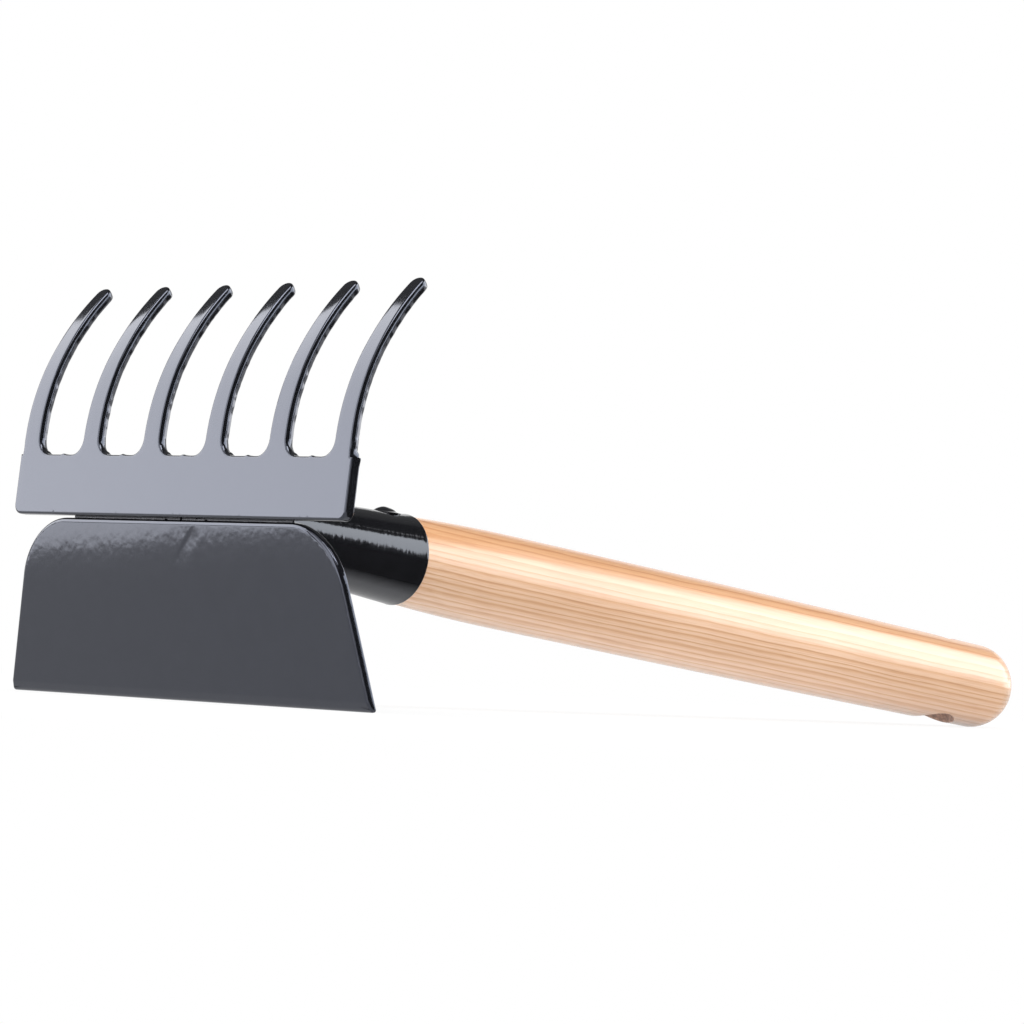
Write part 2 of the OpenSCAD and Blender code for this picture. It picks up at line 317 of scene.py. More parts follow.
ash = {
    "pithY": 20.0, "pithZ": -130.0, "ring": 1.6, "drift": 1.2, "jitter": 1.0, "uneven": 2.2,
    "light": (0.82, 0.57, 0.40), "mid": (0.73, 0.44, 0.255), "dark": (0.53, 0.27, 0.125),
    "pore": (0.74, 0.56, 0.40, 1), "poreDepth": 0.42,
    "golden": (0.97, 0.79, 0.58, 1), "goldFrom": 130.0, "goldOver": 20.0, "goldWander": 0.4,
    # where the hang hole's wall is painted darker towards the butt: painted shade in the hole
    "paintedShadeFrom": 293.0, "paintedShadeOver": 14.0,
}


def makeAshGrain():
    group, board, given, out = newGroup(
        "ashGrain",
        [("Vector", "Vector", None), ("Ring", "Float", ash["ring"]), ("Line Depth", "Float", 1.0)],
        [("Color", "Color"), ("Pores", "Float"), ("Height", "Float")])
    # the grain wanders slowly along the handle and flickers finely
    wander = board.stretchedNoise(given["Vector"], (0.010, 0.03, 0.03), 2.0, 0.5)
    flicker = board.stretchedNoise(given["Vector"], (0.035, 0.25, 0.25), 3.0, 0.55)
    # distance from the pith of the tree, which lies far under the handle
    centred = board.add("VectorMath", operation="MULTIPLY_ADD")
    board.join(given["Vector"], centred.inputs[0])
    centred.inputs[1].default_value = (0, 1, 1)
    centred.inputs[2].default_value = (0, -ash["pithY"], -ash["pithZ"])
    distance = board.add("VectorMath", operation="LENGTH")
    board.join(centred.outputs[0], distance.inputs[0])
    drifted = board.maths("ADD", distance.outputs["Value"], board.swing(wander, ash["drift"]))
    radius = board.maths("ADD", drifted, board.swing(flicker, ash["jitter"]))
    # rings of uneven width and strength
    uneven = board.noiseAlong(radius, 0.33)
    rings = board.maths("ADD", board.maths("DIVIDE", radius, given["Ring"]),
                        board.maths("MULTIPLY", uneven.outputs["Fac"], ash["uneven"]))
    line = board.ramp(board.maths("FRACT", rings),
                      [(0.0, 0.14), (0.2, 0.0), (0.5, 0.2), (0.76, 0.8), (0.88, 1.0), (1.0, 0.14)])
    strength = board.ramp(uneven.outputs["Fac"], [(0.3, 0.45), (0.68, 1.0)])
    depth = board.maths("MULTIPLY", board.maths("MULTIPLY", line, strength), given["Line Depth"])
    base = board.ramp(depth, [(0.0, ash["light"]), (0.5, ash["mid"]), (1.0, ash["dark"])])
    # pores and fibres: very long, very fine streaks
    pores = board.stretchedNoise(given["Vector"], (0.07, 3.2, 3.2), 3.0, 0.6)
    poreMask = board.ramp(pores.outputs["Fac"], [(0.45, 0.0), (0.72, 1.0)])
    poreBlend = board.maths("MULTIPLY", poreMask, ash["poreDepth"])
    streaked = board.blendColours("MULTIPLY", poreBlend, base, ash["pore"])
    # the outer rings of the tree, along the top of the handle, are more golden
    band = board.noiseAlong(radius, 0.11)
    outer = board.maths("DIVIDE", board.maths("SUBTRACT", radius, ash["goldFrom"]), ash["goldOver"])
    wandering = board.maths("ADD", outer, board.maths("MULTIPLY", band.outputs["Fac"], ash["goldWander"]))
    gold = board.ramp(wandering, [(0.35, 0.05), (0.72, 1.0)])
    golden = board.blendColours("MULTIPLY", 1.0, streaked, ash["golden"])
    wood = board.blendColours("MIX", gold, streaked, golden)
    tone = board.ramp(wander.outputs["Fac"], [(0.30, (1.04, 1.03, 1.03)), (0.70, (0.94, 0.90, 0.86))])
    board.join(board.blendColours("MULTIPLY", 1.0, wood, tone), out["Color"])
    board.join(poreMask, out["Pores"])
    board.join(board.maths("ADD", board.maths("MULTIPLY", depth, -0.6),
                           board.maths("MULTIPLY", poreMask, -0.4)), out["Height"])
    return group


ashGrain = makeAshGrain()


def startAsh(name, roughness, bumpStrength, bumpDepth):
    # what both woods share: grain, a roughness that rises in the pores, and a fine relief
    material, board, shader = newMaterial(name)
    grain = placeGroup(board, ashGrain, {"Line Depth": 1.0})
    vector = toolCoordinates(board)
    board.join(vector, grain.inputs["Vector"])
    smooth, porous = roughness
    dull = board.ramp(grain.outputs["Pores"], [(0.0, smooth), (1.0, porous)])
    board.join(dull, shader.inputs["Roughness"])
    bump = board.add("Bump", Strength=bumpStrength, Distance=bumpDepth * mm)
    board.join(grain.outputs["Height"], bump.inputs["Height"])
    board.join(bump.outputs["Normal"], shader.inputs["Normal"])
    return material, board, shader, grain, vector


def makeVarnishedAsh():
    material, board, shader, grain, _ = startAsh("varnishedAsh", (0.42, 0.58), 0.5, 0.01)
    board.join(grain.outputs["Color"], shader.inputs["Base Color"])
    shader.inputs["Coat Weight"].default_value = 1.0
    shader.inputs["Coat Roughness"].default_value = 0.2
    shader.inputs["Coat IOR"].default_value = 1.7
    return material


def makeBoredAsh():
    # inside the hang hole the grain is cut across and barely varnished; its colour is painted darker
    # towards the butt, painted shade in the hole, mixed with light and dark end-grain streaks
    material, board, shader, grain, vector = startAsh("boredAsh", (0.5, 0.75), 0.7, 0.05)
    parts = board.add("SeparateXYZ")
    board.join(vector, parts.inputs["Vector"])
    streaks = board.stretchedNoise(vector, (0.10, 1.1, 1.1), 3.0, 0.6)
    # painted shade: the hole's wall darkens across the hole towards the butt
    inside = board.maths("SUBTRACT", parts.outputs["X"], ash["paintedShadeFrom"])
    reach = board.maths("DIVIDE", inside, ash["paintedShadeOver"])
    streaky = board.maths("MULTIPLY", board.maths("SUBTRACT", streaks.outputs["Fac"], 0.25), 1.3)
    shade = board.maths("ADD", board.maths("MULTIPLY", reach, 0.4), streaky)
    # colour of the painted shade and the end-grain streaks, from pale to dark brown
    streakedShade = board.ramp(shade, [(0.15, (0.98, 0.80, 0.70)), (0.5, (0.80, 0.60, 0.52)),
                               (0.9, (0.36, 0.27, 0.26))])
    board.join(board.blendColours("MIX", 0.75, grain.outputs["Color"], streakedShade), shader.inputs["Base Color"])
    return material


varnishedAsh = makeVarnishedAsh()
boredAsh = makeBoredAsh()
print("ash ready")


# where the two sheets meet the socket: their thickness, lean and place

sheets = {
    "rake": 3.2, "rakeLean": math.radians(1.2), "rakeDrop": 1.75,
    "hoe": 2.2, "hoeLean": math.radians(14.2), "hoeGap": 0.9, "hoeSetback": 0.5,
}

hoeTopZ = -sheets["rakeDrop"] - sheets["hoeGap"]
# half way between the rake's lower edge and the hoe's back top edge, to a thousandth
seamZ = round((hoeTopZ + sheets["hoe"] * math.sin(sheets["hoeLean"]) - sheets["rakeDrop"]) / 2, 3)


def rakeDepthAt(z):
    return -(z + sheets["rakeDrop"]) * math.tan(sheets["rakeLean"])


def hoeDepthAt(z):
    return sheets["hoeSetback"] + (hoeTopZ - z) * math.tan(sheets["hoeLean"])


# socket: sizes, and the taper that the tenon and the nail share with it

socket = {
    "rim": 25.2, "nose": 16.2, "length": 79.8, "wall": 1.5, "rimRound": 0.5, "sides": 128, "step": 0.8,
    "dent": 0.38, "dentAlong": 4.2, "dentAcross": 4.6, "endBlend": 12, "intoRake": 0.94, "intoHoe": 0.9,
}

coneAngle = math.atan((socket["rim"] - socket["nose"]) / 2 / (socket["length"] - sheets["rake"]))


def socketRadius(x):
    return (socket["nose"] / 2 + (socket["rim"] - socket["nose"]) / 2
            * (x - sheets["rake"]) / (socket["length"] - sheets["rake"]))


def boreRadius(x):
    return socketRadius(x) - socket["wall"] / math.cos(coneAngle)


# nail: sizes and place

nail = {
    "head": 6.4, "height": 1.2, "shank": 2.8, "length": 16.0, "fromRim": 7.3, "clearance": 0.05,
    "sides": 48, "hammered": 0.16,
}

nailAt = socket["length"] - nail["fromRim"]
nailPlace = Matrix.Translation((nailAt, 0, socketRadius(nailAt))) @ Matrix.Rotation(-coneAngle, 4, "Y")


# handle

handle = {
    "grip": 26.3, "shoulder": 24.2, "butt": 24.9, "length": 248.4, "neck": 40.0, "taperStart": 100.0,
    "buttRound": 11.9, "tenon": 60.0, "clearance": 0.05, "sides": 144, "step": 2.0, "sanding": 0.02,
    "hole": 8.4, "holeFromButt": 28.2, "mouth": 15.2, "mouthDepth": 7.4, "lip": 0.9,
}


def woodRadius(x):
    # x runs from the socket's rim to the butt
    swell = (handle["grip"] - handle["shoulder"]) / 2 * max(0, 1 - x / handle["neck"]) ** 2
    run = (x - handle["taperStart"]) / (handle["length"] - handle["taperStart"])
    return handle["grip"] / 2 - swell - (handle["grip"] - handle["butt"]) / 2 * max(0, run) ** 2


def makeCutter():
    # the hang hole with its flared lower mouth, and the nail's hole through socket and tenon
    bm = bmesh.new()
    holeAt = handle["length"] - handle["holeFromButt"]
    surface = woodRadius(holeAt)
    r = handle["hole"] / 2
    flare = (handle["mouth"] - handle["hole"]) / 2 / handle["mouthDepth"]
    low = -surface + handle["mouthDepth"]
    high = surface - handle["lip"]
    beyond = 2  # how far the cutter reaches past the wood
    top = high + handle["lip"] + beyond
    mouth = r + flare * (handle["mouthDepth"] + beyond)
    profile = [(0, 0, -surface - beyond), (mouth, 0, -surface - beyond)]
    # worn throat where the flare runs into the hole
    profile += [(r + 0.9, 0, low - 0.9 / flare * 0.75), (r + 0.25, 0, low - 0.35), (r, 0, low + 0.4)]
    profile += [(r, 0, high - 0.3), (r + 0.12, 0, high), (r + handle["lip"] + beyond, 0, top), (0, 0, top)]
    turnAbout(bm, profile, (0, 0, 1), 64, 1e-5)
    bmesh.ops.translate(bm, vec=(socket["length"] + holeAt, 0, 0), verts=bm.verts)
    nailHole = nail["shank"] / 2 + nail["clearance"]
    past = 4  # how far the nail's cutter reaches past the nail at each end
    bmesh.ops.create_cone(bm, cap_ends=True, segments=32, radius1=nailHole, radius2=nailHole,
                          depth=nail["length"] + 2 * past,
                          matrix=nailPlace @ Matrix.Translation((0, 0, past - nail["length"] / 2)))
    bmesh.ops.recalc_face_normals(bm, faces=bm.faces)
    bmesh.ops.transform(bm, matrix=toolPlace @ millimetres, verts=bm.verts)
    for face in bm.faces:
        face.material_index = 1
    return makeObject(bm, "cutter", varnishedAsh, boredAsh)


def cutHoles(piece, cutter):
    modifier = piece.modifiers.new("holes", "BOOLEAN")
    modifier.operation = "DIFFERENCE"
    modifier.solver = "EXACT"
    modifier.object = cutter
    bpy.context.view_layer.update()
    cut = bpy.data.meshes.new_from_object(piece.evaluated_get(bpy.context.evaluated_depsgraph_get()))
    piece.modifiers.remove(modifier)
    old = piece.data
    piece.data = cut
    cut.name = piece.name
    bpy.data.meshes.remove(old)
    for polygon in cut.polygons:
        polygon.use_smooth = True
    cut.set_sharp_from_angle(angle=smoothBelow)


def makeHandle(cutter):
    bm = bmesh.new()
    rimAt = socket["length"]
    tenonAt = rimAt - handle["tenon"]
    tenonRadius = boreRadius(tenonAt) - handle["clearance"]
    roundAt = handle["length"] - handle["buttRound"]
    flat = woodRadius(roundAt) - handle["buttRound"]
    chamfer = 0.4
    points = [(tenonAt, 0, 0), (tenonAt, 0, tenonRadius - chamfer), (tenonAt + chamfer, 0, tenonRadius)]
    points += [(x, 0, boreRadius(x) - handle["clearance"]) for x in stations(tenonAt + 1, rimAt, 5)]
    points += [(rimAt, 0, woodRadius(0) - 0.15)]
    points += [(rimAt + x, 0, woodRadius(x)) for x in stations(0.15, roundAt, handle["step"])]
    points += arcPoints((rimAt + roundAt, flat), handle["buttRound"], 0, math.pi / 2, 22)[1:]
    points += [(rimAt + handle["length"], 0, 0)]
    turnAbout(bm, points, (1, 0, 0), handle["sides"], 1e-7)
    for vert in bm.verts:
        # hand-sanded: never perfectly round
        x, y, z = vert.co
        outward = Vector((0, y, z))
        if x > rimAt + 1 and outward.length > 1:
            vert.co += outward.normalized() * handle["sanding"] * ripple((x * 0.3, y, z), 0.09, 3.1)
    piece = settle(bm, "ashHandle", toolPlace, [varnishedAsh, boredAsh], "wood", "handle")
    cutHoles(piece, cutter)


cutter = makeCutter()
makeHandle(cutter)


# socket: a plain tapered tube, dented a little where the nail was driven

def makeSocket(cutter):
    bm = bmesh.new()
    end = socket["length"]
    rimRound = socket["rimRound"]
    points = [(x, 0, socketRadius(x)) for x in stations(0, end - rimRound - 0.4, socket["step"])]
    points += arcPoints((end - rimRound, socketRadius(end) - rimRound), rimRound, 0, math.pi / 2, 6)
    points += [(end, 0, boreRadius(end) + 0.2), (end - 0.2, 0, boreRadius(end))]
    points += [(x, 0, boreRadius(x)) for x in reversed(stations(0, end - 1, 4))]
    turnAbout(bm, points, (1, 0, 0), socket["sides"], 1e-7, closed=True)
    for vert in bm.verts:
        x, y, z = vert.co
        radius = math.hypot(y, z)
        if radius > socketRadius(x) - 0.6:
            away = ((x - nailAt) / socket["dentAlong"]) ** 2 + (y / socket["dentAcross"]) ** 2
            dent = socket["dent"] * math.exp(-away) if z > 0 else 0
            runs = 0.012 * ripple((x, y, z), 0.42, 7.7) + 0.03 * ripple((x * 0.25, y, z), 0.13, 1.9)
            vert.co += Vector((0, y, z)) / radius * (runs - dent) * min(1, (end - x) / 3)
        if x < socket["endBlend"]:
            # above the seam the nose runs into the rake's sheet, below it into the hoe's
            z = vert.co.z
            if z > seamZ:
                face = rakeDepthAt(z) + socket["intoRake"] * sheets["rake"]
            else:
                face = hoeDepthAt(z) + socket["intoHoe"] * sheets["hoe"]
            vert.co.x += face * (1 - x / socket["endBlend"])
    piece = settle(bm, "taperSocket", toolPlace, [socketEnamel], "enamel", "socket")
    cutHoles(piece, cutter)


makeSocket(cutter)
bpy.data.objects.remove(cutter)


# nail: hammered dome, with paint pooled round it

def makeNail():
    bm = bmesh.new()
    half = nail["head"] / 2
    shank = nail["shank"] / 2
    ball = (half ** 2 + nail["height"] ** 2) / (2 * nail["height"])
    spread = math.asin(half / ball)
    points = [(0, 0, nail["height"])]
    for angle in stations(0, spread, spread / 12)[1:-1]:
        points.append((ball * math.sin(angle), 0, nail["height"] - ball + ball * math.cos(angle)))
    # paint pools round the head and under it
    points += [(half - 0.05, 0, 0.02), (half + 0.35, 0, -0.16), (half + 0.9, 0, -0.30)]
    points += [(half + 1.3, 0, -0.42), (half + 1.2, 0, -0.8), (shank + 0.4, 0, -0.9)]
    points += [(shank, 0, -1.2), (shank, 0, 2.5 - nail["length"])]
    points += [(0.3, 0, -nail["length"]), (0, 0, -nail["length"])]
    turnAbout(bm, points, (0, 0, 1), nail["sides"], 1e-6)
    for vert in bm.verts:
        if vert.co.z > 0.1:
            vert.co.z += nail["hammered"] * ripple(vert.co, 0.35, 4.4)
    bmesh.ops.transform(bm, matrix=nailPlace, verts=bm.verts)
    settle(bm, "nailHead", toolPlace, [beadEnamel], "nail", "socket_nail")


makeNail()


# rake blade: flat outline, pressed to thickness, edges rolled, then bent back

rake = {
    "count": 6, "width": 137.0, "strip": 16.3, "length": 70.2, "root": 7.1, "tip": 4.7, "step": 0.7,
    "slotRound": 4.5, "cornerRound": 2.6, "frontRound": 0.7, "backRound": 0.7,
    "straight": 20.4, "lowRadius": 59.0, "lowAngle": math.radians(24), "highRadius": 78.0,
    "longer": (0.7, 0.35, 0.2, 0.1, 0.15, 0.0), "rough": 0.10, "tearAt": 1.5, "tearLean": 0.42,
    "wave": 0.05, "nib": 0.30, "burr": 0.40, "pinch": 0.10, "bow": 0.03,
}

pitch = (rake["width"] - 2 * rake["step"] - rake["root"]) / (rake["count"] - 1)
tineYs = [(i - (rake["count"] - 1) / 2) * pitch for i in range(rake["count"])]
slotYs = [(a + b) / 2 for a, b in zip(tineYs, tineYs[1:])]
lowRun = rake["lowRadius"] * rake["lowAngle"]


def bendSheet(t, s):
    # (depth, height) of a point t behind the front face and s up along the sheet
    if s <= rake["straight"]:
        return t, s
    lowRadius, highRadius = rake["lowRadius"], rake["highRadius"]
    if s <= rake["straight"] + lowRun:
        angle = (s - rake["straight"]) / lowRadius
        return (lowRadius - (lowRadius - t) * math.cos(angle),
                rake["straight"] + (lowRadius - t) * math.sin(angle))
    turn = rake["lowAngle"]
    centreX = lowRadius * (1 - math.cos(turn)) + highRadius * math.cos(turn)
    centreZ = rake["straight"] + lowRadius * math.sin(turn) - highRadius * math.sin(turn)
    angle = turn + (s - rake["straight"] - lowRun) / highRadius
    return centreX - (highRadius - t) * math.cos(angle), centreZ + (highRadius - t) * math.sin(angle)


def rollRim(bm, sheet, frontRound, backRound, segments):
    # rolls the edges between the faces and the rim, front and back by their own radii
    for depth, offset in ((0, frontRound), (sheet, backRound)):
        rim = [edge for edge in bm.edges
               if all(abs(vert.co.x - depth) < 1e-5 for vert in edge.verts)
               and any(abs(face.normal.x) < 0.5 for face in edge.link_faces)]
        roundEdges(bm, rim, offset, segments)


def makeRakeBlade():
    bm = bmesh.new()
    half = rake["width"] / 2
    strip = rake["strip"]
    root, tip = rake["root"] / 2, rake["tip"] / 2
    corners = {"strip": [], "slot": [], "tip": []}

    def corner(y, s, kind=None):
        vert = bm.verts.new((0, y, s))
        if kind:
            corners[kind].append(vert)
        return vert

    outline = [corner(-half, 0, "strip"), corner(half, 0, "strip"), corner(half, strip)]
    for i in reversed(range(rake["count"])):
        y = tineYs[i]
        top = rake["length"] + rake["longer"][i]
        outline.append(corner(y + root, strip, "slot" if i < rake["count"] - 1 else None))
        outline += [corner(y + tip, top, "tip"), corner(y - tip, top, "tip")]
        outline.append(corner(y - root, strip, "slot" if i > 0 else None))
    outline.append(corner(-half, strip))
    bm.faces.new(outline)
    roundCorners(bm, corners["slot"], rake["slotRound"], 8)
    roundCorners(bm, corners["tip"], tip * 0.97, 7)
    roundCorners(bm, corners["strip"], rake["cornerRound"], 6)
    face = max(bm.faces, key=lambda each: each.calc_area())
    pushed = bmesh.ops.extrude_face_region(bm, geom=[face])
    bmesh.ops.translate(bm, vec=(sheets["rake"], 0, 0), verts=vertsOf(pushed))
    bmesh.ops.recalc_face_normals(bm, faces=bm.faces)
    rollRim(bm, sheets["rake"], rake["frontRound"], rake["backRound"], 4)
    cutAcross(bm, 2, stations(2, 14, 3))
    cutAcross(bm, 2, stations(15, 24, 0.75))
    cutAcross(bm, 2, stations(25, 69.5, 1.0))
    cutAcross(bm, 1, stations(-66, 66, 3.0))
    for y in slotYs:
        cutAcross(bm, 1, stations(y - 3.2, y + 1.2, 0.55))
    cutAcross(bm, 0, (1.1, 1.45, 1.8, 2.15))
    bmesh.ops.remove_doubles(bm, verts=bm.verts, dist=1e-4)
    for vert in bm.verts:
        t, y, s = vert.co
        tine = min(range(rake["count"]), key=lambda i: abs(y - tineYs[i]))
        side = 1 if y > tineYs[tine] else -1
        back = max(0, t / sheets["rake"] - 0.35)
        if s > strip + 1:
            # sheared sides: the break along the back edge comes and goes
            rough = (ripple((s, tine * 9.0, side * 4.0), 0.55, 2.3)
                     + 0.6 * ripple((s, tine * 5.0, side), 1.4, 8.1))
            y += side * back * rake["rough"] * rough
            torn = max(0, t - rake["tearAt"] - 0.35 * ripple((s, tine * 7.0, side * 2.0), 0.7, 4.9))
            y -= side * rake["tearLean"] * torn * min(1, abs(y - tineYs[tine]) / 2)
            y += side * rake["wave"] * ripple((s, tine * 3.0, side), 0.12, 5.5)
        elif abs(y) > half - 1.2:
            y += math.copysign(back * 0.22 * ripple((s, y, 1), 0.6, 6.1), y)
        # nib left by the shear in each slot
        if abs(s - strip) < 1.4:
            for i, slotY in enumerate(slotYs):
                s += rake["nib"] * math.exp(-((y - slotY + 1.0 + 0.3 * math.sin(i * 2.1)) / 0.7) ** 2)
        # burr at the ends of the strip, and the pinch above it in the outer tines
        if abs(y) > half - 1.3 and s < strip + 0.4:
            y += math.copysign(rake["burr"] * back * math.exp(-((s - strip + 0.5) / 0.8) ** 2), y)
        if abs(y) > half - 2.2 and strip + 0.2 < s < strip + 4:
            y -= math.copysign(rake["pinch"] * math.exp(-((s - strip - 1.6) / 1.1) ** 2), y)
        depth, height = bendSheet(t, s)
        vert.co = (depth + rake["bow"] * ripple((0, y, s), 0.05, 1.3), y, height)
    place = (toolPlace @ Matrix.Translation((0, 0, -sheets["rakeDrop"] * mm))
             @ Matrix.Rotation(-sheets["rakeLean"], 4, "Y"))
    keepFlats(settle(bm, "tineBlade", place, [rakeEnamel], "enamel", "rake_blade"))


makeRakeBlade()


# hoe blade

hoe = {
    "width": 149.0, "height": 47.5, "slant": math.radians(14.5), "shoulder": 20.2, "corner": 0.8,
    "bevel": 2.7, "edge": 1.4, "frontRound": 1.05, "backRound": 0.35,
    "pull": 0.06, "pullReach": 15, "bow": 0.04,
    "dent": {"y": -4, "s": -6, "turn": (0.68, 0.73), "depth": 0.055,
             "steep": 0.45, "gentle": 3.2, "long": 5.6},
}


def makeHoeBlade():
    bm = bmesh.new()
    halfLow = hoe["width"] / 2
    halfTop = halfLow - hoe["height"] * math.tan(hoe["slant"])
    top = [bm.verts.new((0, -halfTop, 0)), bm.verts.new((0, halfTop, 0))]
    low = [bm.verts.new((0, halfLow, -hoe["height"])), bm.verts.new((0, -halfLow, -hoe["height"]))]
    bm.faces.new(top + low)
    turned = math.pi / 2 - hoe["slant"]
    roundCorners(bm, top, hoe["shoulder"] * math.tan(turned / 2), 24)
    roundCorners(bm, low, hoe["corner"] * math.tan((math.pi - turned) / 2), 5)
    face = max(bm.faces, key=lambda each: each.calc_area())
    pushed = bmesh.ops.extrude_face_region(bm, geom=[face])
    bmesh.ops.translate(bm, vec=(sheets["hoe"], 0, 0), verts=vertsOf(pushed))
    bmesh.ops.recalc_face_normals(bm, faces=bm.faces)
    rollRim(bm, sheets["hoe"], hoe["frontRound"], hoe["backRound"], 5)
    bevelTop = -hoe["height"] + hoe["bevel"]
    cutAcross(bm, 2, stations(-40, -15, 2.0) + stations(-13.0, -1.3, 0.4))
    cutAcross(bm, 2, (bevelTop - 0.15, bevelTop + 0.15, bevelTop - 1.2))
    cutAcross(bm, 1, stations(-70, -13, 2.5) + stations(-11, 4, 0.4) + stations(6, 70, 2.5))
    bmesh.ops.remove_doubles(bm, verts=bm.verts, dist=1e-4)
    dent = hoe["dent"]
    alongTurn, acrossTurn = dent["turn"]
    for vert in bm.verts:
        t, y, s = vert.co
        front = 1 - t / sheets["hoe"]
        if s < bevelTop:
            t += (sheets["hoe"] - hoe["edge"]) * (bevelTop - s) / hoe["bevel"] * front
        # the sheet bows back a little under its top edge, where the weld pulled it
        reach = max(0, 1 + s / hoe["pullReach"]) ** 2
        t += reach * hoe["pull"] * (1.0 + 0.35 * ripple((0, y, 0), 0.05, 2.2))
        t += hoe["bow"] * ripple((0, y, s), 0.045, 5.9)
        # shallow slanting dent, steeper on its upper left side
        left, up = y - dent["y"], s - dent["s"]
        along = left * alongTurn - up * acrossTurn
        across = left * acrossTurn + up * alongTurn
        width = dent["steep"] if across > 0 else dent["gentle"]
        t += dent["depth"] * front * math.exp(-(across / width) ** 2 - (along / dent["long"]) ** 4)
        vert.co = (t, y, s)
    place = (toolPlace @ Matrix.Translation((sheets["hoeSetback"] * mm, 0, hoeTopZ * mm))
             @ Matrix.Rotation(-sheets["hoeLean"], 4, "Y"))
    keepFlats(settle(bm, "hoeBlade", place, [hoeEnamel], "enamel", "hoe_blade"))


makeHoeBlade()


# welds: rippled beads under the paint

weld = {
    "nose": 2.4, "seam": 2.0, "seamHalf": 45.08, "seamInner": 0.4, "seamStep": 0.42, "seamTaper": 3.0,
    "pitch": 1.7, "rise": 0.09, "lump": 0.09, "sunk": 0.2, "segments": 20,
}


def rippleBead(bm, centreOf, alongOf, seed):
    # stacked-coin ripples: each vertex moves out from the bead's own centre line
    for vert in bm.verts:
        centre = centreOf(vert.co)
        along = alongOf(vert.co)
        wobble = 0.5 * ripple((along, 0, 0), 0.35, seed)
        coins = abs(math.sin(math.pi * (along / weld["pitch"] + wobble)))
        swell = 1 - weld["rise"] + weld["rise"] * coins + weld["lump"] * ripple(vert.co, 0.3, seed)
        vert.co = centre + (vert.co - centre) * swell


def closeEnds(bm):
    gaps = [edge for edge in bm.edges if edge.is_boundary]
    bmesh.ops.holes_fill(bm, edges=gaps, sides=0)
    bmesh.ops.recalc_face_normals(bm, faces=bm.faces)


def makeNoseBead(name, node, upper):
    bm = bmesh.new()
    ring = socket["nose"] / 2
    bmesh.ops.create_circle(bm, cap_ends=False, segments=weld["segments"], radius=weld["nose"],
                            matrix=Matrix.Translation((sheets["rake"], ring, 0)))
    geom = bm.verts[:] + bm.edges[:]
    bmesh.ops.spin(bm, geom=geom, cent=(0, 0, 0), axis=(1, 0, 0), angle=math.pi, steps=96,
                   use_merge=False, use_duplicate=False)
    closeEnds(bm)

    def centreOf(co):
        flat = Vector((0, co.y, co.z))
        return Vector((sheets["rake"], 0, 0)) + flat.normalized() * ring

    rippleBead(bm, centreOf, lambda co: math.atan2(co.z, co.y) * ring, 3.3 if upper else 9.1)
    for vert in bm.verts:
        vert.co.x = max(vert.co.x, sheets["rake"] - weld["sunk"])
    if upper:
        place = toolPlace
    else:
        bmesh.ops.rotate(bm, verts=bm.verts, cent=(0, 0, 0), matrix=Matrix.Rotation(math.pi, 3, "X"))
        backX = sheets["hoeSetback"] + sheets["hoe"] * math.cos(sheets["hoeLean"])
        place = (toolPlace @ Matrix.Translation((backX * mm, 0, seamZ * mm))
                 @ Matrix.Rotation(-sheets["hoeLean"], 4, "Y")
                 @ Matrix.Translation((-sheets["rake"] * mm, 0, 0)))
    settle(bm, name, place, [beadEnamel], "enamel", node)


makeNoseBead("rakeNoseBead", "rake_weld", True)
makeNoseBead("hoeNoseBead", "hoe_weld", False)


def makeSeamBead():
    bm = bmesh.new()
    half = weld["seamHalf"]
    inner = weld["seamInner"]
    for start, end in ((-half, -inner), (inner, half)):
        length = end - start
        circle = bmesh.ops.create_circle(
            bm, cap_ends=False, segments=weld["segments"], radius=weld["seam"],
            matrix=(Matrix.Translation((sheets["rake"], start, seamZ))
                    @ Matrix.Rotation(math.pi / 2, 4, "X")))
        count = round(length / weld["seamStep"])
        edges = [edge for edge in bm.edges if all(vert in circle["verts"] for vert in edge.verts)]
        for _ in range(count):
            pushed = bmesh.ops.extrude_edge_only(bm, edges=edges)
            verts = vertsOf(pushed)
            edges = [item for item in pushed["geom"] if isinstance(item, bmesh.types.BMEdge)
                     and all(vert in verts for vert in item.verts)]
            bmesh.ops.translate(bm, vec=(0, length / count, 0), verts=verts)
    closeEnds(bm)

    def taper(co):
        near = min(half - abs(co.y), weld["seamTaper"]) / weld["seamTaper"]
        return math.sqrt(max(0.05, 1 - (1 - near) ** 2))

    rippleBead(bm, lambda co: Vector((sheets["rake"], co.y, seamZ)), lambda co: co.y, 5.7)
    for vert in bm.verts:
        centre = Vector((sheets["rake"], vert.co.y, seamZ))
        vert.co = centre + (vert.co - centre) * taper(vert.co)
        vert.co.x = max(vert.co.x, sheets["rake"] - weld["sunk"])
    settle(bm, "seamBead", toolPlace, [beadEnamel], "enamel", "blade_weld")


makeSeamBead()
print("metal made")


# studio

